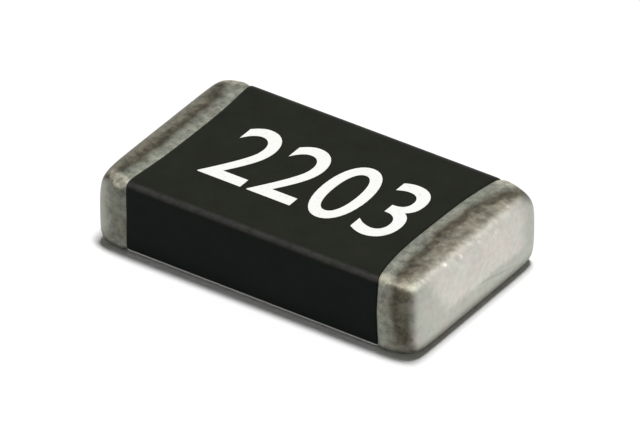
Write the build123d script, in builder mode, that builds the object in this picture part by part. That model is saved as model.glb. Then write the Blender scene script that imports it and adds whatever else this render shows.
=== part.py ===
"""Chip resistor of case size 0805, built up layer by layer as the real one is.

An alumina board carries printed silver electrodes, a resistive film and a glass overcoat. A laser
has trimmed the film with an L-shaped cut through the glass. A black overcoat wraps the middle and
fills the cut. Each end is dipped in silver and plated with nickel and then tin, which leaves a
rounded metal cap over five faces.

Millimetres. X runs along the chip, Y across it and Z up. The origin is at the middle of the
underside, in the plane that the chip rests on.
"""

from build123d import *

import math
import os

# The finished chip, over its caps
length = 2.08
width = 1.195
height = 0.45
long_edge_radius = 0.04  # of the four edges that run along the chip

# The rounding of each end: how deep it runs along the chip, and how far in it reaches
end_depth = 0.14
end_side_reach = 0.080  # from each side
end_face_reach = 0.080  # from the top and from the underside
end_flat_corner = 0.12  # radius at the corners of the flat left in the middle of the end face
end_sections = 11  # outlines that the rounding is lofted through

# The caps: how far each runs along the chip at its corners, and how much further at mid face
left_band = 0.215
left_band_bulge = 0.030  # on the top and the underside
right_band = 0.25
right_band_bulge = 0.054
side_band_bulge = 0.008  # on the two long sides

# Metal of the caps, from the outside in
tin_thickness = 0.012
nickel_thickness = 0.008
silver_thickness = 0.010

# The board and what is printed on it
board_end_reach = 0.020  # how far each end of the board runs into the rounding of the chip's end
electrode_thickness = 0.010
electrode_side_margin = 0.040  # bare board left beside each electrode
electrode_gap = 1.04  # between the two top electrodes
bottom_electrode_length = 0.26
film_thickness = 0.010
film_width = 0.78
film_overlap = 0.11  # onto each top electrode
glass_thickness = 0.010
glass_margin = 0.035  # past the film, all round
coat_stand_off = 0.006  # the overcoat's underside clears the surface that the caps rest on

# The trim cut, an L: across the film from its edge, then along it
cut_width = 0.045
cut_depth = 0.42
cut_run = 0.27
cut_from_middle = 0.16

# Depths and levels that follow from the layers
under_tin_inset = tin_thickness
under_nickel_inset = under_tin_inset + nickel_thickness
board_inset = under_nickel_inset + silver_thickness
board_length = length - 2 * (end_depth - board_end_reach)
board_width = width - 2 * board_inset
board_bottom = board_inset + electrode_thickness
board_top = height - board_inset - electrode_thickness
electrode_top = board_top + electrode_thickness
electrode_width = board_width - 2 * electrode_side_margin
film_length = electrode_gap + 2 * film_overlap
glass_length = film_length + 2 * glass_margin
glass_width = film_width + 2 * glass_margin

sides = {"left": -1, "right": 1}


def section_plane(x):
    """A plane across the chip at x, with its X along the chip's width and its Y up."""
    return Plane(origin=(x, 0, height / 2), x_dir=(0, 1, 0), z_dir=(1, 0, 0))


def cross_section(inset, turn=0):
    """The chip's outline at a depth of inset under its skin.

    Turn is how far the rounding of the end has gone there, from 0 on the sides to 90 degrees at
    the end face.
    """
    drawn_in = 1 - math.cos(math.radians(turn))
    side_inset = inset + (end_side_reach - inset) * drawn_in
    face_inset = inset + (end_face_reach - inset) * drawn_in
    edge_radius = max(long_edge_radius - inset, long_edge_radius / 4)
    corner = edge_radius + (end_flat_corner - long_edge_radius) * math.sin(math.radians(turn))
    section_height = height - 2 * face_inset
    with BuildSketch() as section:
        RectangleRounded(width - 2 * side_inset, section_height, min(corner, 0.4 * section_height))
    return section.sketch


def chip_form(inset):
    """The chip's outer form, or the one that lies at a depth of inset under its skin."""
    rounding_start = length / 2 - end_depth
    with BuildPart() as form:
        with BuildSketch(section_plane(-rounding_start)):
            add(cross_section(inset))
        extrude(amount=2 * rounding_start)
        for side in sides.values():
            for step in range(end_sections):
                turn = 90 * step / (end_sections - 1)
                reach = rounding_start + (end_depth - inset) * math.sin(math.radians(turn))
                with BuildSketch(section_plane(side * reach)):
                    add(cross_section(inset, turn))
            loft()
    return form.part


def band_edge(side, band, bulge, across):
    """Three points of the arc where a cap stops on a face that is across wide."""
    corner = side * (length / 2 - band)
    return (corner, -across / 2), (corner - side * bulge, 0), (corner, across / 2)


def stretch_between_caps(left_bulge, right_bulge, across):
    """The stretch of a face that lies between the curved edges of the two caps."""
    left = band_edge(sides["left"], left_band, left_bulge, across)
    right = band_edge(sides["right"], right_band, right_bulge, across)
    with BuildSketch() as stretch:
        with BuildLine():
            ThreePointArc(*left)
            Line(left[2], right[2])
            ThreePointArc(*right)
            Line(right[0], left[0])
        make_face()
    return stretch.sketch


# The room between the caps, bounded by their edges on the top and on the long sides
with BuildPart() as between_caps:
    with BuildSketch():
        add(stretch_between_caps(left_band_bulge, right_band_bulge, width))
    extrude(amount=height)
    with BuildSketch(Plane(origin=(0, width / 2, height / 2), x_dir=(1, 0, 0), z_dir=(0, -1, 0))):
        add(stretch_between_caps(side_band_bulge, side_band_bulge, height))
    extrude(amount=width, mode=Mode.INTERSECT)

# The path that the laser burned, through everything printed on the board
with BuildPart() as trim_cut:
    film_edge = -film_width / 2
    with BuildSketch(Plane.XY.offset(board_top)):
        with BuildLine():
            Polyline(
                (-cut_from_middle, film_edge - 2 * glass_margin),
                (-cut_from_middle, film_edge + cut_depth),
                (-cut_from_middle + cut_run, film_edge + cut_depth),
            )
        trace(line_width=cut_width)
    extrude(amount=height - board_top)

chip = chip_form(0)
under_tin = chip_form(under_tin_inset)
under_nickel = chip_form(under_nickel_inset)

os.makedirs("parts", exist_ok=True)

with BuildPart() as ceramic_board:
    with BuildSketch(Plane.XY.offset(board_bottom)):
        Rectangle(board_length, board_width)
    extrude(amount=board_top - board_bottom)

ceramic_board.part.label = "ceramic_board"
export_step(ceramic_board.part, "parts/ceramic_board.step")

# Bare electrodes at both ends, above and below, which the film and the silver make contact with
printed = []
for name, side in sides.items():
    end = side * board_length / 2
    towards_middle = (Align.MAX if side > 0 else Align.MIN, Align.CENTER)

    with BuildPart() as top_electrode:
        with BuildSketch(Plane.XY.offset(board_top)):
            with Locations((end, 0)):
                Rectangle((board_length - electrode_gap) / 2, electrode_width, align=towards_middle)
        extrude(amount=electrode_thickness)

    with BuildPart() as bottom_electrode:
        with BuildSketch(Plane.XY.offset(board_bottom)):
            with Locations((end, 0)):
                Rectangle(bottom_electrode_length, electrode_width, align=towards_middle)
        extrude(amount=-electrode_thickness)

    top_electrode.part.label = "top_electrode_" + name
    export_step(top_electrode.part, f"parts/top_electrode_{name}.step")
    bottom_electrode.part.label = "bottom_electrode_" + name
    export_step(bottom_electrode.part, f"parts/bottom_electrode_{name}.step")
    printed += [top_electrode.part, bottom_electrode.part]

# The film lies on the board, and climbs onto each electrode without getting thinner
with BuildPart() as resistive_film:
    with BuildSketch(Plane.XY.offset(board_top)):
        Rectangle(electrode_gap, film_width)
    extrude(amount=film_thickness)
    with BuildSketch(Plane.XY.offset(electrode_top)):
        Rectangle(film_length, film_width)
        Rectangle(electrode_gap - 2 * film_thickness, film_width, mode=Mode.SUBTRACT)
    extrude(amount=film_thickness)
    add(trim_cut.part, mode=Mode.SUBTRACT)

resistive_film.part.label = "resistive_film"
export_step(resistive_film.part, "parts/resistive_film.step")
printed.append(resistive_film.part)

# The glass does the same over the film, and laps onto the board and the electrodes beyond it
with BuildPart() as glass_overcoat:
    with BuildSketch(Plane.XY.offset(board_top)):
        Rectangle(glass_length, glass_width)
    extrude(amount=film_thickness + glass_thickness)
    with BuildSketch(Plane.XY.offset(electrode_top)):
        Rectangle(glass_length, glass_width)
        Rectangle(electrode_gap - 2 * (film_thickness + glass_thickness), glass_width, mode=Mode.SUBTRACT)
    extrude(amount=film_thickness + glass_thickness)
    add(trim_cut.part, mode=Mode.SUBTRACT)
    add(printed, mode=Mode.SUBTRACT)

glass_overcoat.part.label = "glass_overcoat"
export_step(glass_overcoat.part, "parts/glass_overcoat.step")
printed.append(glass_overcoat.part)

# The black coat fills the room between the caps, down to the board, and the laser's cut
with BuildPart() as black_overcoat:
    add(chip)
    add(between_caps.part, mode=Mode.INTERSECT)
    with BuildSketch():
        Rectangle(length, width)
    extrude(amount=coat_stand_off, mode=Mode.SUBTRACT)
    add([ceramic_board.part, *printed], mode=Mode.SUBTRACT)

black_overcoat.part.label = "black_overcoat"
export_step(black_overcoat.part, "parts/black_overcoat.step")

# Each cap is silver, then nickel, then tin, one inside the other, and all stop at the coat's edge
for name, side in sides.items():
    this_end = Keep.TOP if side > 0 else Keep.BOTTOM

    with BuildPart() as silver_termination:
        add(under_nickel)
        add(between_caps.part, mode=Mode.SUBTRACT)
        add([ceramic_board.part, *printed], mode=Mode.SUBTRACT)
        split(bisect_by=Plane.YZ, keep=this_end)

    with BuildPart() as nickel_barrier:
        add(under_tin)
        add(between_caps.part, mode=Mode.SUBTRACT)
        add(under_nickel, mode=Mode.SUBTRACT)
        split(bisect_by=Plane.YZ, keep=this_end)

    with BuildPart() as tin_cap:
        add(chip)
        add(between_caps.part, mode=Mode.SUBTRACT)
        add(under_tin, mode=Mode.SUBTRACT)
        split(bisect_by=Plane.YZ, keep=this_end)

    silver_termination.part.label = "silver_termination_" + name
    export_step(silver_termination.part, f"parts/silver_termination_{name}.step")
    nickel_barrier.part.label = "nickel_barrier_" + name
    export_step(nickel_barrier.part, f"parts/nickel_barrier_{name}.step")
    tin_cap.part.label = "tin_cap_" + name
    export_step(tin_cap.part, f"parts/tin_cap_{name}.step")
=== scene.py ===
# %% [markdown]
# # A chip resistor, dressed over its CAD frame
# A chip resistor is a brick of alumina barely two millimetres long. A black coat hides the film
# that does the work, and a metal cap is plated round each end. The frame holds every layer at its
# real size. This lesson models the pieces that show, prints a value on the coat, and gives each
# layer a finish of its own.

# %% Load the frame
import math

import bmesh
import bpy
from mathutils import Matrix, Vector


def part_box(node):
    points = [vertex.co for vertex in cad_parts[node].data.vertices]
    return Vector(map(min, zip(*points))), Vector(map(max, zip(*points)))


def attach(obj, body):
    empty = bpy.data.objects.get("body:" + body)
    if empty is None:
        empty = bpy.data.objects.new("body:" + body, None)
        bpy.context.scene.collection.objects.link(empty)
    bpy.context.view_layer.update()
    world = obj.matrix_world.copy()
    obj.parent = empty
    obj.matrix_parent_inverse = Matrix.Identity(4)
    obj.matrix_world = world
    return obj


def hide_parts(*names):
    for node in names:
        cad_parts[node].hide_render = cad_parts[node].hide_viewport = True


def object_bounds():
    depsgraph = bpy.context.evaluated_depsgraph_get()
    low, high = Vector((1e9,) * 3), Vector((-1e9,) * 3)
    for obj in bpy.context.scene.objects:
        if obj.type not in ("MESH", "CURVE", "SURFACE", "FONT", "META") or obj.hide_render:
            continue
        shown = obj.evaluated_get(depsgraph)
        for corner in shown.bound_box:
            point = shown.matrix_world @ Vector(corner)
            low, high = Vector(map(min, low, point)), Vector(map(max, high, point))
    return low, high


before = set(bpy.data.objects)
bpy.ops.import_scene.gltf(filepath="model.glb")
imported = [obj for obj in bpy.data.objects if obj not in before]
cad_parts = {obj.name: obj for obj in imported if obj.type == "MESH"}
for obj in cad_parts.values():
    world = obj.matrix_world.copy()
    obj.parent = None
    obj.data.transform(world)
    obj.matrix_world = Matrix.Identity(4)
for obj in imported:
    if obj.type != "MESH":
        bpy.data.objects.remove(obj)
cad_low, cad_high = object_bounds()
print("CAD box in mm:", [round(c * 1000, 3) for c in (*cad_low, *cad_high)])

# %% [markdown]
# ## Working in millimetres
# Blender's unit is the metre, and a whole resistor is 0.002 of it. Mesh operators are happier with
# numbers near one, so each piece is modelled with one unit to the millimetre. It is shrunk to its
# real size when it is finished, and its scale is applied.

# %% Sizes from the frame
METRES = 0.001


def box_in_mm(node):
    """Lowest and highest corner of a CAD node, in millimetres."""
    low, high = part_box(node)
    return low / METRES, high / METRES


chip_low, chip_high = cad_low / METRES, cad_high / METRES
half_width = chip_high.y
height = chip_high.z
mid_height = height / 2
print(f"chip {chip_high.x - chip_low.x:.3f} x {2 * half_width:.3f} x {height:.3f} mm")

# %% [markdown]
# ## A few tools for modelling by hand
# Everything below starts from a block, which is cut, inset, extruded and nudged in edit mode. An
# operator acts on what is selected, so two helpers pick points or faces by their place, and the
# others put a standard operator behind a short name.

# %% Helpers for edit mode
CLOSE = 1e-4  # mm, well under the thinnest layer
SUBDIVISIONS = 4  # times that a cage is divided and rounded


def add_block(name, low, high):
    """A box between two corners, left in edit mode."""
    bpy.ops.object.select_all(action="DESELECT")
    bpy.ops.mesh.primitive_cube_add(size=1, location=(low + high) / 2, scale=high - low)
    bpy.ops.object.transform_apply(location=True, scale=True)
    block = bpy.context.object
    block.name = name
    bpy.ops.object.mode_set(mode="EDIT")
    return block


def cut_across(axis, places):
    """Cuts the whole mesh at each place along an axis, which leaves loops of edges there."""
    normal = [1 if axis == i else 0 for i in range(3)]
    for place in places:
        bpy.ops.mesh.select_all(action="SELECT")
        bpy.ops.mesh.bisect(plane_co=[n * place for n in normal], plane_no=normal, threshold=CLOSE)


def pick_points(block, test):
    """Selects the points whose place passes the test."""
    bpy.ops.mesh.select_mode(type="VERT")
    bpy.ops.mesh.select_all(action="DESELECT")
    mesh = bmesh.from_edit_mesh(block.data)
    for point in mesh.verts:
        point.select_set(test(point.co))
    mesh.select_flush(True)
    bmesh.update_edit_mesh(block.data)
    return sum(point.select for point in mesh.verts)


def pick_faces(block, test):
    """Selects the faces whose centre and normal pass the test."""
    bpy.ops.mesh.select_mode(type="FACE")
    bpy.ops.mesh.select_all(action="DESELECT")
    mesh = bmesh.from_edit_mesh(block.data)
    for face in mesh.faces:
        face.select_set(test(face.calc_center_median(), face.normal))
    bmesh.update_edit_mesh(block.data)


def nudge(block, test, step):
    """Moves the points that pass the test."""
    if pick_points(block, test):
        bpy.ops.transform.translate(value=step)


def finish_piece(block):
    """Smooths a cage into its final surface and brings the piece to its real size."""
    bpy.ops.mesh.select_all(action="SELECT")
    bpy.ops.mesh.normals_make_consistent(inside=False)
    bpy.ops.object.mode_set(mode="OBJECT")
    smooth = block.modifiers.new("smooth", "SUBSURF")
    smooth.levels = smooth.render_levels = SUBDIVISIONS
    bpy.ops.object.modifier_apply(modifier=smooth.name)
    bpy.ops.object.shade_smooth()
    block.scale = (METRES,) * 3
    bpy.ops.object.transform_apply(scale=True)
    size = (block.dimensions / METRES)[:]
    print(block.name, "faces:", len(block.data.polygons), "size in mm:", [round(s, 3) for s in size])


# %% [markdown]
# ## Where the caps meet the coat
# A cap isn't cut off square. The metal creeps further over the middle of the top than it does at
# the corners, and its edge wanders by a hundredth of a millimetre, as the edge of any dip does. The
# coat and the cap share that edge. If each were cut by eye, they would gape or overlap, so both
# get the same columns of points, and one helper bends both to the same curve.

# %% Shared shape of the cross-section
EDGE_LOOP = 0.07  # mm from each long edge, for a radius of about 0.04
QUARTER = 0.30  # mm from the middle, columns that let the ends curve
CAD_BULGE = {"left": 0.030, "right": 0.054}  # mm that a cap's box takes in past its corners
SIDE = {"left": -1, "right": 1}

outermost = half_width - EDGE_LOOP
COLUMNS = (-outermost, -QUARTER, 0, QUARTER, outermost)
edge_of_cap = {
    "left": box_in_mm("tin_cap_left")[1].x - CAD_BULGE["left"],
    "right": box_in_mm("tin_cap_right")[0].x + CAD_BULGE["right"],
}
print("edges of the caps at the corners, in mm:", {k: round(v, 3) for k, v in edge_of_cap.items()})


def cut_cross_section():
    """Loops along the chip that the coat and both caps share, so that they meet flush."""
    cut_across(1, COLUMNS)
    cut_across(2, (EDGE_LOOP, mid_height, height - EDGE_LOOP))


# %% Bend an end to the curve
BULGE = {"left": 0.022, "right": 0.066}  # mm that a cap reaches further at the middle of the top
SIDE_BULGE = {"left": 0.002, "right": 0.012}  # mm that it reaches further halfway up the sides
WANDER = {  # mm that it reaches further still at each column, from the front to the back
    "left": (-0.014, -0.001, -0.003, 0.004, -0.006),
    "right": (0.010, 0.013, -0.010, 0.001, 0.004),
}
BENT = 0.04  # mm each way from the edge that bend with it
NEARBY = 0.02  # mm, less than from one loop to the next


def bulge_at(name, y):
    """How much further a cap reaches at y than it does at its corners."""
    return BULGE[name] * (1 - (y / half_width) ** 2)


def curve_edge(block, name):
    """Bends a flat end into the curved edge between cap and coat."""
    inward = -SIDE[name]

    def at_edge(co):
        return abs(co.x - edge_of_cap[name]) < BENT

    for column, wander in zip(COLUMNS, WANDER[name]):
        nudge(
            block,
            lambda co: at_edge(co) and abs(co.y - column) < NEARBY,
            (inward * (bulge_at(name, column) + wander), 0, 0),
        )
    nudge(
        block,
        lambda co: at_edge(co)
        and abs(co.y) > half_width - NEARBY
        and abs(co.z - mid_height) < NEARBY,
        (inward * SIDE_BULGE[name], 0, 0),
    )


for name in SIDE:
    print(name, "cap at its columns, in mm:", [round(bulge_at(name, y), 3) for y in COLUMNS])

# %% [markdown]
# ## The black coat
# The coat is a sleeve of filled epoxy round the middle of the chip. Its long edges are only just
# rounded. A bevelled block would do if its ends were square. They aren't, so it is a cage instead:
# a block with loops of edges close to whatever should stay tight. Subdivision rounds the rest, and
# the spacing of the loops sets the radius: the nearer the loop, the tighter the edge.
#
# Two skins that are rounded apart never meet quite as closely as two faces of a block, and light
# would shine through between them. So a thin tongue of the coat runs on out of sight, under the
# rim of each cap. It is the end face of the block, inset, drawn out and walled off: both its ends
# are opened and bridged, which leaves a tube.

# %% Model the coat
INK = 0.0015  # mm that the printed ink stands above the coat
SEAM_LOOP = 0.03  # mm from each end of the coat
SPAN_LOOPS = (-0.4, 0, 0.4)  # mm from the middle, to divide its length
STEP = 0.009  # mm down from the coat to its tongue
TONGUE = 0.03  # mm that the tongue reaches under the cap
WALL = 0.006  # mm, how thick the tongue is
coat_low, coat_high = box_in_mm("black_overcoat")

coat = add_block(
    "coat",
    Vector((edge_of_cap["left"], coat_low.y, coat_low.z)),
    Vector((edge_of_cap["right"], coat_high.y, coat_high.z - INK)),
)
cut_across(0, (edge_of_cap["left"] + SEAM_LOOP, *SPAN_LOOPS, edge_of_cap["right"] - SEAM_LOOP))
cut_cross_section()

for side in SIDE.values():
    pick_faces(coat, lambda co, normal: side * normal.x > 1 - CLOSE)
    bpy.ops.mesh.inset(thickness=STEP, use_even_offset=True)
    bpy.ops.mesh.extrude_region_move(TRANSFORM_OT_translate={"value": (side * TONGUE, 0, 0)})
    bpy.ops.mesh.inset(thickness=WALL, use_even_offset=True)
    bpy.ops.mesh.delete(type="FACE")
bpy.ops.mesh.select_mode(type="EDGE")
bpy.ops.mesh.select_all(action="DESELECT")
bpy.ops.mesh.select_non_manifold()
bpy.ops.mesh.bridge_edge_loops()
for name in SIDE:
    curve_edge(coat, name)
finish_piece(coat)

# %% [markdown]
# ## The tin caps
# The ends are dipped and then plated, so a cap has no crisp edge anywhere. Its end face swells a
# little and its corners are plump, and those of the left end are each drawn in by another amount.
# A block with rounded edges gives one radius all round, so this is a cage again. Its loops stand
# well back from the end, the face there is drawn in and bowed, and each corner is moved by itself.
# The block is then hollowed from the coat's side, and its rim dips into a shallow groove where it
# meets the coat.

# %% Draw in the free end of a cap
END_LOOP = {"left": 0.15, "right": 0.17}  # mm back from the end
FACE_LOOP = 0.13  # mm in from the edges of the end face
CROWN = 0.006  # mm that the end face stands out at its middle
CORNER_DRAWN_IN = {  # mm: top front, top back, bottom front, bottom back
    "left": (0.045, 0.015, 0, 0.03),
    "right": (0.03, 0.03, 0.03, 0.03),
}
CORNERS = ((-1, 1), (1, 1), (-1, -1), (1, -1))  # the signs of Y and Z, in the same order


def squeeze(block, test, factors, centre):
    """Scales the points that pass the test about a centre."""
    if pick_points(block, test):
        bpy.ops.transform.resize(value=factors, center_override=centre)


def on_side(co):
    """Whether a point is on one of the long sides."""
    return abs(co.y) > half_width - CLOSE


def on_face(co):
    """Whether a point is on the top or the underside."""
    return abs(co.z - mid_height) > mid_height - CLOSE


def draw_in_end(cap, name, end):
    """Makes the end face smaller, bows it out, and draws in its corners."""

    def at_end(co):
        return abs(co.x - end) < NEARBY

    centre = (end, 0, mid_height)
    back = (-SIDE[name] * CROWN, 0, 0)
    narrower = (half_width - FACE_LOOP) / (half_width - EDGE_LOOP)
    lower = (mid_height - FACE_LOOP) / (mid_height - EDGE_LOOP)
    squeeze(cap, lambda co: at_end(co) and not on_side(co), (1, narrower, 1), centre)
    squeeze(cap, lambda co: at_end(co) and not on_face(co), (1, 1, lower), centre)
    nudge(cap, lambda co: at_end(co) and on_side(co), back)
    nudge(cap, lambda co: at_end(co) and on_face(co), back)
    for (across, up), drawn_in in zip(CORNERS, CORNER_DRAWN_IN[name]):
        squeeze(
            cap,
            lambda co: at_end(co)
            and across * co.y > half_width - CLOSE
            and up * (co.z - mid_height) > mid_height - CLOSE,
            (1, 1 - drawn_in / half_width, 1 - drawn_in / mid_height),
            centre,
        )


# %% Hollow a cap
TIN = 0.012  # mm thick
RIM_LOOP = 0.035  # mm from the rim
RIM_DIP = 0.006  # mm that the rim lies under the cap's faces
TAPER = (1, 0.93, 0.85)  # how much smaller the hollow gets behind the end face


def hollow(cap, name, rim, end):
    """Draws a hollow in from the rim, and dips the rim."""
    pick_faces(cap, lambda co, normal: abs(co.x - rim) < CLOSE)
    bpy.ops.mesh.inset(thickness=TIN, use_even_offset=True)
    for step, factors in (
        (abs(end - rim) - END_LOOP[name], (1, 1, 1)),
        (END_LOOP[name] - TIN, TAPER),
    ):
        step *= SIDE[name]
        bpy.ops.mesh.extrude_region_move(TRANSFORM_OT_translate={"value": (step, 0, 0)})
        bpy.ops.transform.resize(value=factors, center_override=(end, 0, mid_height))
    squeeze(
        cap,
        lambda co: abs(co.x - rim) < CLOSE and (on_side(co) or on_face(co)),
        (1, 1 - RIM_DIP / half_width, 1 - RIM_DIP / mid_height),
        (rim, 0, mid_height),
    )


# %% Model both caps
def make_cap(name):
    """Models the cap of one end, from a block to its final surface."""
    side = SIDE[name]
    rim = edge_of_cap[name]
    low, high = box_in_mm("tin_cap_" + name)
    end = high.x if side > 0 else low.x
    low.x, high.x = min(rim, end), max(rim, end)
    cap = add_block("cap_" + name, low, high)
    cut_across(0, (rim + side * RIM_LOOP, end - side * END_LOOP[name]))
    cut_cross_section()
    draw_in_end(cap, name, end)
    hollow(cap, name, rim, end)
    curve_edge(cap, name)
    finish_piece(cap)
    return cap


caps = {name: make_cap(name) for name in SIDE}

# %% [markdown]
# ## What each piece stands for
# A new piece doesn't know its place in the object. It is attached to the body it rides on, and the
# CAD node it stands for is hidden. The layers inside keep their CAD meshes, since they are plain
# blocks and shells that nothing shows.

# %% Say what each piece stands for
for piece, node, finish in (
    (coat, "black_overcoat", "black_epoxy"),
    (caps["left"], "tin_cap_left", "matte_tin"),
    (caps["right"], "tin_cap_right", "matte_tin"),
):
    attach(piece, "root")
    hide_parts(node)
    print(piece.name, "stands for", node)

# %% [markdown]
# ## Where the metal is stained, and where light is painted
# A brown stain lies on each cap, between its end face and its rim. Light and shade are painted over
# it: the top corners carry a painted highlight, the sides and the left top are painted darker as
# shade, and the dark strip and the lighter rim are partly painted reflection. It could all be painted
# on, but that needs an image. Here it follows the form instead: four numbers are worked out for each
# point of the mesh and stored in it, and the material reads them as smooth fields. They say how far
# the point seems from the rim and from the end face, how much it is darkened by tarnish and painted
# shade, and how much highlight is painted on it. The two ends look unlike, so each has measures of
# its own.

# %% Measures of the stain and of the painted light and shade
# On the top and on the side of each cap: what a point's distance from the rim is multiplied by,
# what is added to that, the most it may come to, how much further off the end face seems, and how
# much the metal is darkened, partly by tarnish and partly as painted shade. All but the first and the
# last are in mm
SPREAD = {
    ("left", "top"): (1, 0, 0.30, 0.075, 0.095),
    ("left", "side"): (-0.15, 0.058, 0.30, -0.035, 0.29),
    ("right", "top"): (1, -0.006, 0.30, -0.004, -0.04),
    ("right", "side"): (0.58, 0.024, 0.088, 0.022, 0.01),
}
BORDER = {"front": 0.07, "back": 0.13}  # mm from the top to the side, round the long edges
TOP_BORDER = 0.04  # mm, the same at the top
FACING_END = (0.85, 0.97)  # how far a normal points along the chip, from edge to end face
BACK_CORNER = (0.3, 0.55)  # mm from the middle, where the stain starts and stops to widen
WIDER = 0.35  # share by which it widens there

# Where a highlight is painted on the top corner: mm in from the side and down from the top, each
# where it starts and where it is full, and how far that slants per mm from the rim; then how strong
# the painted highlight is at the rim, how much more further on, and over which mm from the rim that
# comes and goes
CORNER_HIGHLIGHT = {
    "left": {
        "from_side": (0.095, 0.03),
        "below_top": (0.068, 0.02),
        "slant": 0.25,
        "at_rim": 0.8,
        "further_on": 2.2,
        "comes": (0.01, 0.05),
        "goes": (0.17, 0.12),
    },
    "right": {
        "from_side": (0.095, 0.05),
        "below_top": (0.035, 0.012),
        "slant": 0,
        "at_rim": 0.9,
        "further_on": -0.5,  # the stain runs over the edge there
        "comes": (0.05, 0.08),
        "goes": (0.245, 0.195),
    },
}
PIVOT = 0.1  # mm from the rim, about which the painted highlight slants
print("spreads:", len(SPREAD), "rubbed corners:", len(CORNER_HIGHLIGHT))


# %% Work out where a point lies
def ramp(value, start, end):
    """How far a value has gone from a start to an end, held between 0 and 1."""
    return min(1, max(0, (value - start) / (end - start)))


def corner_highlight_at(name, off_rim, y, z):
    """How strongly a highlight is painted on a point of the top corner. Past 1 it is painted brighter
    still.
    """
    highlight = CORNER_HIGHLIGHT[name]
    slant = highlight["slant"]
    from_side = half_width - abs(y) + 2 * slant * (PIVOT - off_rim)
    below_top = height - z + slant * off_rim
    painted_light = ramp(from_side, *highlight["from_side"]) * ramp(below_top, *highlight["below_top"])
    further_on = highlight["further_on"] * ramp(off_rim, *highlight["comes"]) * ramp(off_rim, *highlight["goes"])
    return painted_light * (highlight["at_rim"] + further_on)


def lie_of(name, point):
    """How far a point seems from the rim and from the end face, how much it is darkened by tarnish and
    painted shade, and how much highlight is painted on it.
    """
    x, y, z = point.co / METRES
    off_rim = SIDE[name] * (x - edge_of_cap[name]) + bulge_at(name, y)
    off_rim *= 1 - WIDER * ramp(y, *BACK_CORNER)
    facing_end = ramp(abs(point.normal.x), *FACING_END)
    seen_from = []
    for face in ("top", "side"):
        factor, added, most, beyond, tarnish_and_shade = SPREAD[name, face]
        from_rim = min(most, factor * off_rim + added)
        from_end = chip_high.x - abs(x) + beyond * (1 - facing_end)
        seen_from.append((from_rim, from_end, tarnish_and_shade * (1 - facing_end)))
    border = BORDER["back" if y > 0 else "front"]
    sideways = ramp(abs(y), half_width - border, half_width - border / 4)
    sideways *= ramp(z, height, height - TOP_BORDER)
    from_rim, from_end, tarnish_and_shade = (a + (b - a) * sideways for a, b in zip(*seen_from))
    painted_light = corner_highlight_at(name, off_rim, y, z)
    return from_rim, from_end, tarnish_and_shade * (1 - min(1, painted_light)), painted_light


# %% Store it in the caps
LABELS = ("from_rim", "from_end", "tarnish_and_shade", "painted_light")
for name, cap in caps.items():
    lies = [lie_of(name, point) for point in cap.data.vertices]
    for label, values in zip(LABELS, zip(*lies)):
        numbers = cap.data.attributes.new(label, "FLOAT", "POINT")
        numbers.data.foreach_set("value", values)
        print(cap.name, label, "from", round(min(values), 3), "to", round(max(values), 3))

# %% [markdown]
# ## The printed number
# A resistor of this size carries its value in digits. The first three are figures and the last
# counts the noughts that follow them, in ohms. The ink is screened on, so it is a thin white film
# that stands a hair above the coat. It could be drawn in the coat's material, but digits are
# outlines, and Blender's text object has them ready. They are thickened to the weight of the print,
# and become a mesh before they are laid on the coat.

# %% Print the number
VALUE = "2203"  # 220 kilohms
DIGIT_HEIGHT = 0.545  # mm
DIGIT_PITCH = 0.318  # mm
PRINT_MIDDLE = (0.017, -0.010)  # mm from the middle of the chip
FONT_HEIGHT = 0.70  # of a digit of the built-in font, at size 1
FONT_PITCH = 0.50
STROKE = 0.003  # added to each side of a stroke, in the font's own units
INK_DEPTH = 1.3 * INK  # mm, it reaches a little way into the coat

bpy.ops.object.select_all(action="DESELECT")
bpy.ops.object.text_add()
ink = bpy.context.object
ink.name = "printed_number"
ink.data.body = VALUE
ink.data.size = 1
ink.data.resolution_u = 10
ink.data.offset = STROKE
ink.data.extrude = 0.5  # each way, so the ink is 1 deep before it is scaled
bpy.ops.object.convert(target="MESH")
bpy.ops.object.origin_set(type="ORIGIN_GEOMETRY", center="BOUNDS")

ink.scale = Vector((DIGIT_PITCH / FONT_PITCH, DIGIT_HEIGHT / FONT_HEIGHT, INK_DEPTH)) * METRES
ink.location = Vector((*PRINT_MIDDLE, height - INK_DEPTH / 2)) * METRES
bpy.ops.object.transform_apply(location=True, scale=True)
bpy.ops.object.shade_flat()
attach(ink, "root")
print("number in mm:", [round(d / METRES, 4) for d in ink.dimensions], "faces:", len(ink.data.polygons))

# %% [markdown]
# ## Building a material from nodes
# A material is a tree of nodes that ends in one shader. A single function adds a node, sets what it
# is told and links what it is given. Colours are written as they look on a screen and turned to
# linear light, and the scale of a pattern follows from a size in millimetres.

# %% Helpers for materials
FACTOR, A, B, RESULT = 0, 6, 7, 2  # sockets of a Mix node that blends colours


def to_linear(code):
    """The linear colour of an sRGB hex code."""
    channels = [int(code[i : i + 2], 16) / 255 for i in (1, 3, 5)]
    return (*[c / 12.92 if c <= 0.04045 else ((c + 0.055) / 1.055) ** 2.4 for c in channels], 1)


def scale_for(size):
    """The scale at which a texture's features are about this many millimetres across."""
    return 1 / (size * METRES)


def add(tree, kind, inputs=None, **settings):
    """Adds a node. Each input is given a value, or a socket that it is linked from."""
    node = tree.nodes.new("ShaderNode" + kind)
    for setting, value in settings.items():
        setattr(node, setting, value)
    for socket, value in (inputs or {}).items():
        if isinstance(value, bpy.types.NodeSocket):
            tree.links.new(value, node.inputs[socket])
        else:
            node.inputs[socket].default_value = value
    return node


def start_material(name, metallic, roughness, **fixed):
    """A material with its shader set, and the object coordinates that its patterns follow."""
    material = bpy.data.materials.new(name)
    material.use_nodes = True
    tree = material.node_tree
    shader = tree.nodes["Principled BSDF"]
    shader.inputs["Metallic"].default_value = metallic
    shader.inputs["Roughness"].default_value = roughness
    for socket, value in fixed.items():
        shader.inputs[socket.replace("_", " ")].default_value = value
    return material, tree, shader, add(tree, "TexCoord").outputs["Object"]
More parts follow.
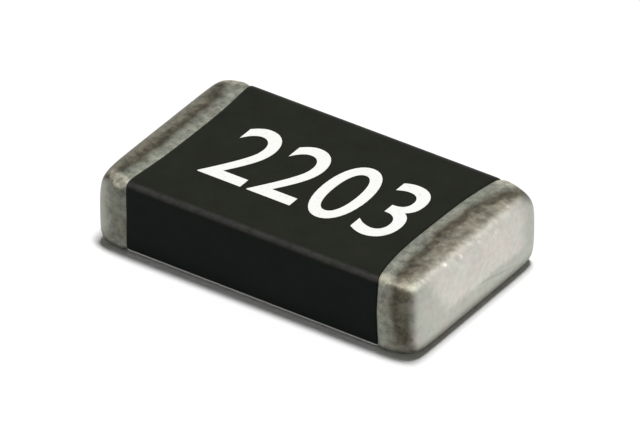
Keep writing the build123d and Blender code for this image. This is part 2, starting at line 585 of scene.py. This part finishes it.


# %% [markdown]
# ## Matte tin
# The caps are electroplated in a barrel with matte tin, which grows as fine grains and has no
# mirror gloss. To the eye that is a soft pale grey metal with no clear reflection. One colour with
# some noise over it would look like cast putty, since what shows that it is a worn chip is where
# each mark lies. So the colour is built up in layers: first the zones from the rim to the end face,
# read from the numbers stored in each point, which are partly a real stain and partly painted
# reflection and painted highlight; then the end face, painted lighter in its middle and darker at its
# foot and borders as painted shade, with a faint dark line and painted glints; then the grains,
# blotches and spots, and last a trace of oxide.

# %% Tin: the zones, of stain and of painted reflection
BAND = 0.30  # mm that the zones take up, from the rim
WAVER = 0.10  # mm that the drift can move them by, half of it each way
tin, tree, shader, place = start_material("matte_tin", 1, 0.5)

# The stored numbers: how far from the rim and the end face, the darkening by tarnish and painted shade,
# and the painted corner highlight
from_rim = add(tree, "Attribute", attribute_name="from_rim").outputs["Fac"]
from_end = add(tree, "Attribute", attribute_name="from_end").outputs["Fac"]
tarnish_and_shade = add(tree, "Attribute", attribute_name="tarnish_and_shade").outputs["Fac"]
corner_highlight = add(tree, "Attribute", attribute_name="painted_light").outputs["Fac"]
drift = add(
    tree, "TexNoise", {"Vector": place, "Scale": scale_for(0.08), "Detail": 6, "Roughness": 0.65}
).outputs["Fac"]
off_rim = add(tree, "Math", {0: drift, 1: WAVER, 2: from_rim}, operation="MULTIPLY_ADD").outputs[0]
along_band = add(
    tree, "MapRange", {"Value": off_rim, "From Min": WAVER / 2, "From Max": WAVER / 2 + BAND}
).outputs["Result"]
# The stops are partly a brown stain and partly painted reflection: the lighter rim and band stand for
# bright surroundings mirrored where the metal tilts, and the dark strip for the dim ceiling mirrored by
# the flat top
stain_and_reflection = add(tree, "ValToRGB", {"Fac": along_band})
for distance, code in (  # mm from the rim
    (0.040, "#888A82"),  # the even rim
    (0.065, "#7A7A72"),
    (0.093, "#504B41"),  # the darkest of the stain
    (0.120, "#5B574C"),
    (0.155, "#7B776D"),  # the lighter band behind it
    (0.210, "#827F75"),
    (0.260, "#8C8980"),
):
    stop = stain_and_reflection.color_ramp.elements.new(distance / BAND)
    stop.color = to_linear(code)
stain_and_reflection.color_ramp.elements.remove(stain_and_reflection.color_ramp.elements[-1])
stain_and_reflection.color_ramp.elements.remove(stain_and_reflection.color_ramp.elements[0])

off_end = add(tree, "Math", {0: drift, 1: 0.03, 2: from_end}, operation="MULTIPLY_ADD").outputs[0]
before_end = add(
    tree,
    "MapRange",
    {"Value": off_end, "From Min": 0.020, "From Max": 0.108},
    interpolation_type="SMOOTHSTEP",
).outputs["Result"]
print("stops:", [round(stop.position, 3) for stop in stain_and_reflection.color_ramp.elements])

# %% Tin: the end face
# Its middle is painted lighter, and its foot and two borders, one of which leans, are painted darker
# as shade. For each, the loop names the axis that runs across it and the mm where it is still shaded
# and where lit
axes = add(tree, "SeparateXYZ", {"Vector": place})
patches = add(
    tree, "TexNoise", {"Vector": place, "Scale": scale_for(0.16), "Detail": 4, "Roughness": 0.55}
).outputs["Fac"]
uneven = add(
    tree, "Math", {0: patches, 1: 0.05 * METRES, 2: axes.outputs["Z"]}, operation="MULTIPLY_ADD"
).outputs[0]
leaning = add(
    tree, "Math", {0: uneven, 1: 0.75, 2: axes.outputs["Y"]}, operation="MULTIPLY_ADD"
).outputs[0]
painted_light = 1
for across, shaded_at, lit_at in (
    (uneven, 0.180, 0.230),
    (leaning, -0.190, -0.060),
    (axes.outputs["Y"], 0.500, 0.370),
):
    inside_border = add(
        tree,
        "MapRange",
        {"Value": across, "From Min": shaded_at * METRES, "From Max": lit_at * METRES},
        interpolation_type="SMOOTHSTEP",
    ).outputs["Result"]
    painted_light = add(tree, "Math", {0: inside_border, 1: painted_light}, operation="MULTIPLY").outputs[0]
face = add(
    tree, "Mix", {FACTOR: painted_light, A: to_linear("#B8B9B5"), B: to_linear("#D0CDCB")}, data_type="RGBA"
).outputs[RESULT]
print("nodes with the end face:", len(tree.nodes))

# %% Tin: a faint dark line and painted glints
# A faint dark line slants across the end face: a thin line of a field, between two places along Y
DARK_LINE_AT = 0.205 * METRES  # of the field that is constant along it
slanting = add(
    tree, "Math", {0: axes.outputs["Y"], 1: 0.2, 2: uneven}, operation="MULTIPLY_ADD"
).outputs[0]
off_dark_line = add(tree, "Math", {0: slanting, 1: DARK_LINE_AT}, operation="SUBTRACT").outputs[0]
from_dark_line = add(tree, "Math", {0: off_dark_line}, operation="ABSOLUTE").outputs[0]
dark_line = add(
    tree, "MapRange", {"Value": from_dark_line, "From Min": 0.009 * METRES, "From Max": 0.002 * METRES}
).outputs["Result"]
for outside, inside in ((-0.04, 0.06), (0.38, 0.26)):
    along = add(
        tree,
        "MapRange",
        {"Value": axes.outputs["Y"], "From Min": outside * METRES, "From Max": inside * METRES},
    ).outputs["Result"]
    dark_line = add(tree, "Math", {0: dark_line, 1: along}, operation="MULTIPLY").outputs[0]
lined = add(
    tree, "Mix", {FACTOR: dark_line, A: face, B: to_linear("#A9A9A4")}, data_type="RGBA"
).outputs[RESULT]

# Painted glints dot its upper edge: the middles of cells, where the patches let them show
cells = add(tree, "TexVoronoi", {"Vector": place, "Scale": scale_for(0.065)}).outputs["Distance"]
glint_cell = add(tree, "MapRange", {"Value": cells, "From Min": 0.28, "From Max": 0.16}).outputs["Result"]
here_and_there = add(
    tree, "MapRange", {"Value": patches, "From Min": 0.34, "From Max": 0.56}
).outputs["Result"]
under_edge = (height - 0.08) * METRES
at_edge = (height - 0.05) * METRES
high_up = add(
    tree, "MapRange", {"Value": axes.outputs["Z"], "From Min": under_edge, "From Max": at_edge}
).outputs["Result"]
glints = add(tree, "Math", {0: glint_cell, 1: high_up}, operation="MULTIPLY").outputs[0]
glints = add(tree, "Math", {0: glints, 1: here_and_there}, operation="MULTIPLY").outputs[0]
glinted = add(
    tree, "Mix", {FACTOR: glints, A: lined, B: to_linear("#F6F4F0")}, data_type="RGBA"
).outputs[RESULT]
print("nodes with the scratch and the nicks:", len(tree.nodes))

# %% Tin: the painted shade at the foot, and the zones put together
# The end face is painted darker at its foot, as shade. Behind it the band is painted lighter low
# down, and carries the painted highlight at the corner
above_foot = add(
    tree,
    "MapRange",
    {"Value": axes.outputs["Z"], "From Min": 0.04 * METRES, "From Max": 0.12 * METRES},
    interpolation_type="SMOOTHSTEP",
).outputs["Result"]
footed = add(
    tree, "Mix", {FACTOR: above_foot, A: to_linear("#86857E"), B: glinted}, data_type="RGBA"
).outputs[RESULT]
patchy_corner_highlight = add(tree, "Math", {0: corner_highlight, 1: patches}, operation="MULTIPLY").outputs[0]
behind = add(
    tree,
    "Mix",
    {FACTOR: patchy_corner_highlight, A: stain_and_reflection.outputs["Color"], B: to_linear("#D8D3C8")},
    data_type="RGBA",
).outputs[RESULT]
low_painted_light = add(
    tree,
    "MapRange",
    {"Value": axes.outputs["Z"], "From Min": 0.09 * METRES, "From Max": 0, "To Max": 0.7},
).outputs["Result"]
band = add(
    tree, "Mix", {FACTOR: low_painted_light, A: behind, B: to_linear("#B4B4AC")}, data_type="RGBA"
).outputs[RESULT]
zoned = add(
    tree, "Mix", {FACTOR: before_end, A: footed, B: band}, data_type="RGBA"
).outputs[RESULT]
print("nodes with all the zones:", len(tree.nodes))

# %% Tin: the grain and the spots
# Grains of matte tin are 0.002 to 0.005 mm, too fine to show, and are drawn as 0.015 mm
grain = add(
    tree, "TexNoise", {"Vector": place, "Scale": scale_for(0.015), "Detail": 3, "Roughness": 0.7}
).outputs["Fac"]
blotches = add(
    tree, "TexNoise", {"Vector": place, "Scale": scale_for(0.04), "Detail": 3, "Roughness": 0.6}
).outputs["Fac"]

# Tarnish and painted shade dim the metal, and each pattern that follows dims or lightens it further
shade = add(tree, "Math", {0: 1, 1: tarnish_and_shade}, operation="SUBTRACT").outputs[0]

# The stain is spotted. A fourth dimension, W, gives these spots a noise of their own
spots = add(
    tree,
    "TexNoise",
    {"Vector": place, "W": 1, "Scale": scale_for(0.055), "Detail": 5, "Roughness": 0.7},
    noise_dimensions="4D",
).outputs["Fac"]
spotted = add(
    tree,
    "MapRange",
    {"Value": spots, "From Min": 0.46, "From Max": 0.62, "To Min": 1.14, "To Max": 0.66},
).outputs["Result"]
stained = add(tree, "MapRange", {"Value": off_rim, "From Min": 0.06, "From Max": 0.10}).outputs["Result"]
fading = add(tree, "MapRange", {"Value": off_rim, "From Min": 0.24, "From Max": 0.16}).outputs["Result"]
for share in (stained, fading, before_end):
    spotted = add(tree, "Math", {0: spotted, 1: share}, operation="POWER").outputs[0]
shade = add(tree, "Math", {0: shade, 1: spotted}, operation="MULTIPLY").outputs[0]

# Grain, blotches and patches each lighten and darken it, and are calmer on the end face
calmer = add(tree, "MapRange", {"Value": before_end, "To Min": 0.3, "To Max": 1.2}).outputs["Result"]
for pattern, darkest, lightest in (
    (grain, 0.92, 1.08),
    (blotches, 0.74, 1.22),
    (patches, 0.94, 1.05),
):
    mark = add(
        tree,
        "MapRange",
        {"Value": pattern, "From Min": 0.3, "From Max": 0.7, "To Min": darkest, "To Max": lightest},
    ).outputs["Result"]
    if pattern is not patches:
        mark = add(tree, "Math", {0: mark, 1: calmer}, operation="POWER").outputs[0]
    shade = add(tree, "Math", {0: shade, 1: mark}, operation="MULTIPLY").outputs[0]
print("nodes with the grain and the spots:", len(tree.nodes))

# %% Tin: oxide, gloss and relief
# An oxide too thin to see tints the tin by a trace, greenish here and pinkish there
oxide = add(
    tree,
    "TexNoise",
    {"Vector": place, "W": 3, "Scale": scale_for(0.13), "Detail": 2},
    noise_dimensions="4D",
).outputs["Fac"]
hue = add(
    tree, "MapRange", {"Value": oxide, "From Min": 0.35, "From Max": 0.65}
).outputs["Result"]
tint = add(
    tree, "Mix", {FACTOR: hue, A: to_linear("#FAFEF6"), B: to_linear("#FFFBF5")}, data_type="RGBA"
).outputs[RESULT]
shaded = add(
    tree, "Mix", {FACTOR: 1, A: zoned, B: shade}, data_type="RGBA", blend_type="MULTIPLY"
).outputs[RESULT]
tinted = add(
    tree, "Mix", {FACTOR: 1, A: shaded, B: tint}, data_type="RGBA", blend_type="MULTIPLY"
).outputs[RESULT]
tree.links.new(tinted, shader.inputs["Base Color"])

duller = add(
    tree,
    "MapRange",
    {"Value": drift, "From Min": 0.3, "From Max": 0.7, "To Min": 0.46, "To Max": 0.60},
).outputs["Result"]
matter = add(tree, "Math", {0: corner_highlight, 1: 0.25, 2: duller}, operation="MULTIPLY_ADD").outputs[0]
tree.links.new(matter, shader.inputs["Roughness"])

relief = add(tree, "Math", {0: drift, 1: 2.0, 2: grain}, operation="MULTIPLY_ADD").outputs[0]
bump = add(tree, "Bump", {"Height": relief, "Strength": 1, "Distance": 0.0012 * METRES})
tree.links.new(bump.outputs["Normal"], shader.inputs["Normal"])
print("nodes in the tin:", len(tree.nodes))

# %% [markdown]
# ## Black epoxy
# The overcoat is epoxy filled with carbon black and fine silica. It is screened on and baked, which
# leaves it matte, with next to no gloss. Its top looks a touch olive, and its sides a touch green and
# darker, as painted shade. Carbon black is never quite even, so a slow mottle runs through it, and a
# painted highlight runs along the long edges. The two blacks and the painted highlight follow a
# height or a distance from the side, which the object's own coordinates give, so no map has to be
# unwrapped.

# %% Epoxy: black, with a mottle
epoxy, tree, shader, place = start_material("black_epoxy", 0, 0.6, Specular_IOR_Level=0.07)

axes = add(tree, "SeparateXYZ", {"Vector": place})
side_ends = (height - 0.06) * METRES
top_starts = (height - 0.01) * METRES
on_top = add(
    tree,
    "MapRange",
    {"Value": axes.outputs["Z"], "From Min": side_ends, "From Max": top_starts},
    interpolation_type="SMOOTHSTEP",
).outputs["Result"]
# The side's black is darker than the top's, as painted shade, and greener as well
base = add(
    tree, "Mix", {FACTOR: on_top, A: to_linear("#0B110E"), B: to_linear("#191B13")}, data_type="RGBA"
).outputs[RESULT]
mottle = add(
    tree, "TexNoise", {"Vector": place, "Scale": scale_for(0.16), "Detail": 5, "Roughness": 0.75}
).outputs["Fac"]
cloud = add(
    tree,
    "MapRange",
    {"Value": mottle, "From Min": 0.3, "From Max": 0.7, "To Min": 0.75, "To Max": 1.25},
).outputs["Result"]
clouded = add(
    tree, "Mix", {FACTOR: 1, A: base, B: cloud}, data_type="RGBA", blend_type="MULTIPLY"
).outputs[RESULT]
print("nodes with the mottle:", len(tree.nodes))

# %% Epoxy: the painted highlight on the long edges, and the pale foot
# A highlight is painted on the long edges, where a point is both near the side and near the top
EDGE_SIDE = (0.05, 0.015)  # mm in from the side, where it starts and where it is full
EDGE_TOP = (0.035, 0.012)  # mm down from the top
outward = add(tree, "Math", {0: axes.outputs["Y"]}, operation="ABSOLUTE").outputs[0]
on_edge = 1
for across, whole, (start, full) in (
    (outward, half_width, EDGE_SIDE),
    (axes.outputs["Z"], height, EDGE_TOP),
):
    near = add(
        tree,
        "MapRange",
        {"Value": across, "From Min": (whole - start) * METRES, "From Max": (whole - full) * METRES},
        interpolation_type="SMOOTHSTEP",
    ).outputs["Result"]
    on_edge = add(tree, "Math", {0: near, 1: on_edge}, operation="MULTIPLY").outputs[0]
# Noise makes the painted highlight patchy
highlight_breaks = add(
    tree, "TexNoise", {"Vector": place, "Scale": scale_for(0.05), "Detail": 4, "Roughness": 0.65}
).outputs["Fac"]
broken_highlight = add(
    tree,
    "MapRange",
    {"Value": highlight_breaks, "From Min": 0.3, "From Max": 0.7, "To Min": 0.45, "To Max": 1.3},
).outputs["Result"]
painted_light = add(tree, "Math", {0: on_edge, 1: broken_highlight}, operation="MULTIPLY").outputs[0]
edge_highlighted = add(
    tree, "Mix", {FACTOR: painted_light, A: clouded, B: to_linear("#3A3938")}, data_type="RGBA"
).outputs[RESULT]

# The black stops short of the underside, which is left pale
above_foot = add(
    tree,
    "MapRange",
    {"Value": axes.outputs["Z"], "From Min": 0.026 * METRES, "From Max": 0.036 * METRES},
    interpolation_type="SMOOTHSTEP",
).outputs["Result"]
footed = add(
    tree, "Mix", {FACTOR: above_foot, A: to_linear("#DCDBD6"), B: edge_highlighted}, data_type="RGBA"
).outputs[RESULT]
tree.links.new(footed, shader.inputs["Base Color"])

# Silica filler is about 0.005 mm, too fine to show, and is drawn as 0.015 mm
filler = add(
    tree, "TexNoise", {"Vector": place, "Scale": scale_for(0.015), "Detail": 4, "Roughness": 0.7}
).outputs["Fac"]
bump = add(tree, "Bump", {"Height": filler, "Strength": 1, "Distance": 0.0008 * METRES})
tree.links.new(bump.outputs["Normal"], shader.inputs["Normal"])
print("nodes in the epoxy:", len(tree.nodes))

# %% [markdown]
# ## White ink
# Marking ink is epoxy too, filled with titanium white. It is pressed through a fine screen and
# baked, so it is semi-matte and covers well, but for the odd thin place where a little of the black
# shows through. Plain white would look like paper, so one noise gives both the thin places and a
# slight relief.

# %% Ink
white_ink, tree, shader, place = start_material("white_ink", 0, 0.5, Specular_IOR_Level=0.3)

thin = add(
    tree, "TexNoise", {"Vector": place, "Scale": scale_for(0.03), "Detail": 3, "Roughness": 0.6}
).outputs["Fac"]
cover = add(
    tree,
    "MapRange",
    {"Value": thin, "From Min": 0.25, "From Max": 0.45},
    interpolation_type="SMOOTHSTEP",
).outputs["Result"]
inked = add(
    tree, "Mix", {FACTOR: cover, A: to_linear("#E4E4E0"), B: to_linear("#F8F8F5")}, data_type="RGBA"
).outputs[RESULT]
tree.links.new(inked, shader.inputs["Base Color"])
bump = add(tree, "Bump", {"Height": thin, "Strength": 0.5, "Distance": 0.0005 * METRES})
tree.links.new(bump.outputs["Normal"], shader.inputs["Normal"])
print("nodes in the ink:", len(tree.nodes))

# %% [markdown]
# ## The layers inside
# Nobody sees these until the part is cut open or taken apart, and then each should look like what
# it is. Fired pastes and ceramics are grains pressed together, so one recipe serves them all: a
# pattern of grains over a slow blotch, with a size, two colours and a relief of its own.

# %% Layers inside
LAYERS = {
    # name: metallic, roughness, darker colour, lighter colour, grain in mm, relief in mm
    "alumina": (0, 0.55, "#E6E3DA", "#F4F2EC", 0.020, 0.0010),  # fired white, 96 percent pure
    "silver_paste": (1, 0.48, "#A9A6A0", "#D2CFC8", 0.012, 0.0012),  # flakes fused in glass
    "resistor_paste": (0, 0.38, "#1D1C1E", "#3A383B", 0.009, 0.0006),  # ruthenium oxide in glass
    "nickel": (1, 0.33, "#A39C8F", "#C4BDB0", 0.010, 0.0006),  # plated, with a warm grey sheen
    "overcoat_glass": (0, 0.18, "#27352D", "#3D5145", 0.030, 0.0004),  # green borosilicate
}
inside = {}
for name, (metallic, roughness, darker, lighter, size, relief) in LAYERS.items():
    material, tree, shader, place = start_material(name, metallic, roughness)
    grains = add(tree, "TexVoronoi", {"Vector": place, "Scale": scale_for(size)}).outputs["Distance"]
    blotch = add(
        tree, "TexNoise", {"Vector": place, "Scale": scale_for(6 * size), "Detail": 4}
    ).outputs["Fac"]
    blend = add(tree, "Math", {0: grains, 1: 0.4, 2: blotch}, operation="MULTIPLY_ADD").outputs[0]
    shade = add(tree, "MapRange", {"Value": blend, "From Min": 0.4, "From Max": 0.9}).outputs["Result"]
    tone = add(
        tree, "Mix", {FACTOR: shade, A: to_linear(darker), B: to_linear(lighter)}, data_type="RGBA"
    ).outputs[RESULT]
    tree.links.new(tone, shader.inputs["Base Color"])
    bump = add(tree, "Bump", {"Height": grains, "Strength": 1, "Distance": relief * METRES})
    tree.links.new(bump.outputs["Normal"], shader.inputs["Normal"])
    inside[name] = material
    print(name, "grains of", size, "mm")

# %% [markdown]
# ## Who wears what
# A node and its mirror image share a finish, so a node's name without its side is enough to look
# the finish up. A CAD mesh arrives with a plain material of its own, which is cleared first.

# %% Give every piece and every CAD node its material
FINISHES = {
    "ceramic_board": inside["alumina"],
    "top_electrode": inside["silver_paste"],
    "bottom_electrode": inside["silver_paste"],
    "silver_termination": inside["silver_paste"],
    "resistive_film": inside["resistor_paste"],
    "glass_overcoat": inside["overcoat_glass"],
    "nickel_barrier": inside["nickel"],
    "tin_cap": tin,
    "black_overcoat": epoxy,
}
for node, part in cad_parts.items():
    kind = node.removesuffix("_left").removesuffix("_right")
    part.data.materials.clear()
    part.data.materials.append(FINISHES[kind])
coat.data.materials.append(epoxy)
ink.data.materials.append(white_ink)
for cap in caps.values():
    cap.data.materials.append(tin)
print("materials:", sorted(material.name for material in bpy.data.materials))

# %% [markdown]
# ## The floor
# The chip lies on a sheet of white paper. The sheet is a hundred chips long, so that its edges are
# never seen.

# %% Floor
bpy.ops.object.select_all(action="DESELECT")
bpy.ops.mesh.primitive_plane_add(size=0.4)
floor = bpy.context.object
floor.name = "floor"

paper, tree, shader, place = start_material("white_paper", 0, 1, Specular_IOR_Level=0)
fibres = add(tree, "TexNoise", {"Vector": place, "Scale": scale_for(0.5), "Detail": 2}).outputs["Fac"]
sheet = add(
    tree, "Mix", {FACTOR: fibres, A: to_linear("#FDFDFD"), B: to_linear("#FFFFFF")}, data_type="RGBA"
).outputs[RESULT]
tree.links.new(sheet, shader.inputs["Base Color"])
floor.data.materials.append(paper)
print("floor in m:", floor.dimensions[:2])

# %% [markdown]
# ## The light
# One softbox hangs almost straight overhead, so the shadow is short and hugs the chip. It leans a
# little back, which brings a strip of shadow out along the front. A sun lamp would be simpler, but
# its shadow is as soft one way as the other. The softbox is narrow across the chip, where the
# shadow should be dark and crisp, and wide along it, where the shadow should fade past the ends.

# %% Light
LAMP_TILT = math.radians(6.3)  # from overhead, towards the back
LAMP_ASIDE = math.radians(1.5)  # and towards the right
LAMP_DISTANCE = 0.3  # m
LAMP_LENGTH = math.radians(7)  # across the chip, as seen from it
LAMP_WIDTH = math.radians(16)  # along the chip
BRIGHTNESS = 3.0  # W/m2 at the chip

lamp_data = bpy.data.lights.new("softbox", "AREA")
lamp_data.shape = "RECTANGLE"
lamp_data.size = LAMP_DISTANCE * LAMP_WIDTH
lamp_data.size_y = LAMP_DISTANCE * LAMP_LENGTH
lamp_data.energy = BRIGHTNESS * math.pi * LAMP_DISTANCE**2
lamp = bpy.data.objects.new("softbox", lamp_data)
bpy.context.collection.objects.link(lamp)
towards_lamp = Vector((math.tan(LAMP_ASIDE), math.tan(LAMP_TILT), 1)).normalized()
lamp.location = towards_lamp * LAMP_DISTANCE
lamp.rotation_euler = towards_lamp.to_track_quat("Z", "Y").to_euler()
print("softbox", round(lamp_data.size, 3), "by", round(lamp_data.size_y, 3), "m")

# %% [markdown]
# ## The studio round it
# Metal shows what stands round it, and a dark world would leave the tin black. The world is white
# to the camera and in what metal mirrors, though dimmer overhead, where the ceiling is. To matte
# surfaces it gives only a tenth of that, or it would fill the shadow in.

# %% Studio
FILL = 0.10  # share of the white world that lights matte surfaces
WALLS, CEILING = 0.9, 0.3  # how bright they look in metal
world = bpy.data.worlds.new("studio")
bpy.context.scene.world = world
world.use_nodes = True
tree = world.node_tree
direction = add(tree, "TexCoord").outputs["Generated"]
upward = add(tree, "SeparateXYZ", {"Vector": direction}).outputs["Z"]
mirrored = add(
    tree,
    "MapRange",
    {"Value": upward, "From Min": 0.55, "From Max": 0.85, "To Min": WALLS, "To Max": CEILING},
    interpolation_type="SMOOTHSTEP",
).outputs["Result"]
path = add(tree, "LightPath")
strength = add(
    tree,
    "Math",
    {0: path.outputs["Is Camera Ray"], 1: path.outputs["Is Transmission Ray"]},
    operation="ADD",
).outputs[0]
for ray, share in (("Is Diffuse Ray", FILL), ("Is Glossy Ray", mirrored)):
    strength = add(
        tree, "Math", {0: path.outputs[ray], 1: share, 2: strength}, operation="MULTIPLY_ADD"
    ).outputs[0]
tree.links.new(strength, tree.nodes["Background"].inputs["Strength"])
tree.nodes["Background"].inputs["Color"].default_value = (1, 1, 1, 1)
print("nodes in the world:", len(tree.nodes))

# %% [markdown]
# ## The camera
# The chip is seen from its front right and from above, through a long lens far away, so that its
# edges stay almost parallel. The camera is placed from where it aims and how wide the view is
# there, since those can be measured on the object, and its distance follows from the two.

# %% Camera
AZIMUTH = math.radians(34.3)
ELEVATION = math.radians(33.8)
FIELD = math.radians(3)
FRAME_WIDTH = 0.003428  # m, at the chip
AIM_RIGHT, AIM_UP = 0.000016, 0.000205  # m from the middle of the underside

camera_data = bpy.data.cameras.new("camera")
camera = bpy.data.objects.new("camera", camera_data)
bpy.context.collection.objects.link(camera)
bpy.context.scene.camera = camera
back = Vector((
    math.sin(AZIMUTH) * math.cos(ELEVATION),
    -math.cos(AZIMUTH) * math.cos(ELEVATION),
    math.sin(ELEVATION),
))
right = Vector((math.cos(AZIMUTH), math.sin(AZIMUTH), 0))
up = back.cross(right)
distance = FRAME_WIDTH / 2 / math.tan(FIELD / 2)
camera.location = right * AIM_RIGHT + up * AIM_UP + back * distance
camera.rotation_euler = back.to_track_quat("Z", "Y").to_euler()
camera_data.angle = FIELD
camera_data.clip_start = distance / 10
camera_data.clip_end = 10
print("camera at", round(distance, 4), "m")

# %% [markdown]
# ## Finish
# Standard colour management shows a colour as it was chosen.

# %% Colour management
bpy.context.scene.view_settings.view_transform = "Standard"
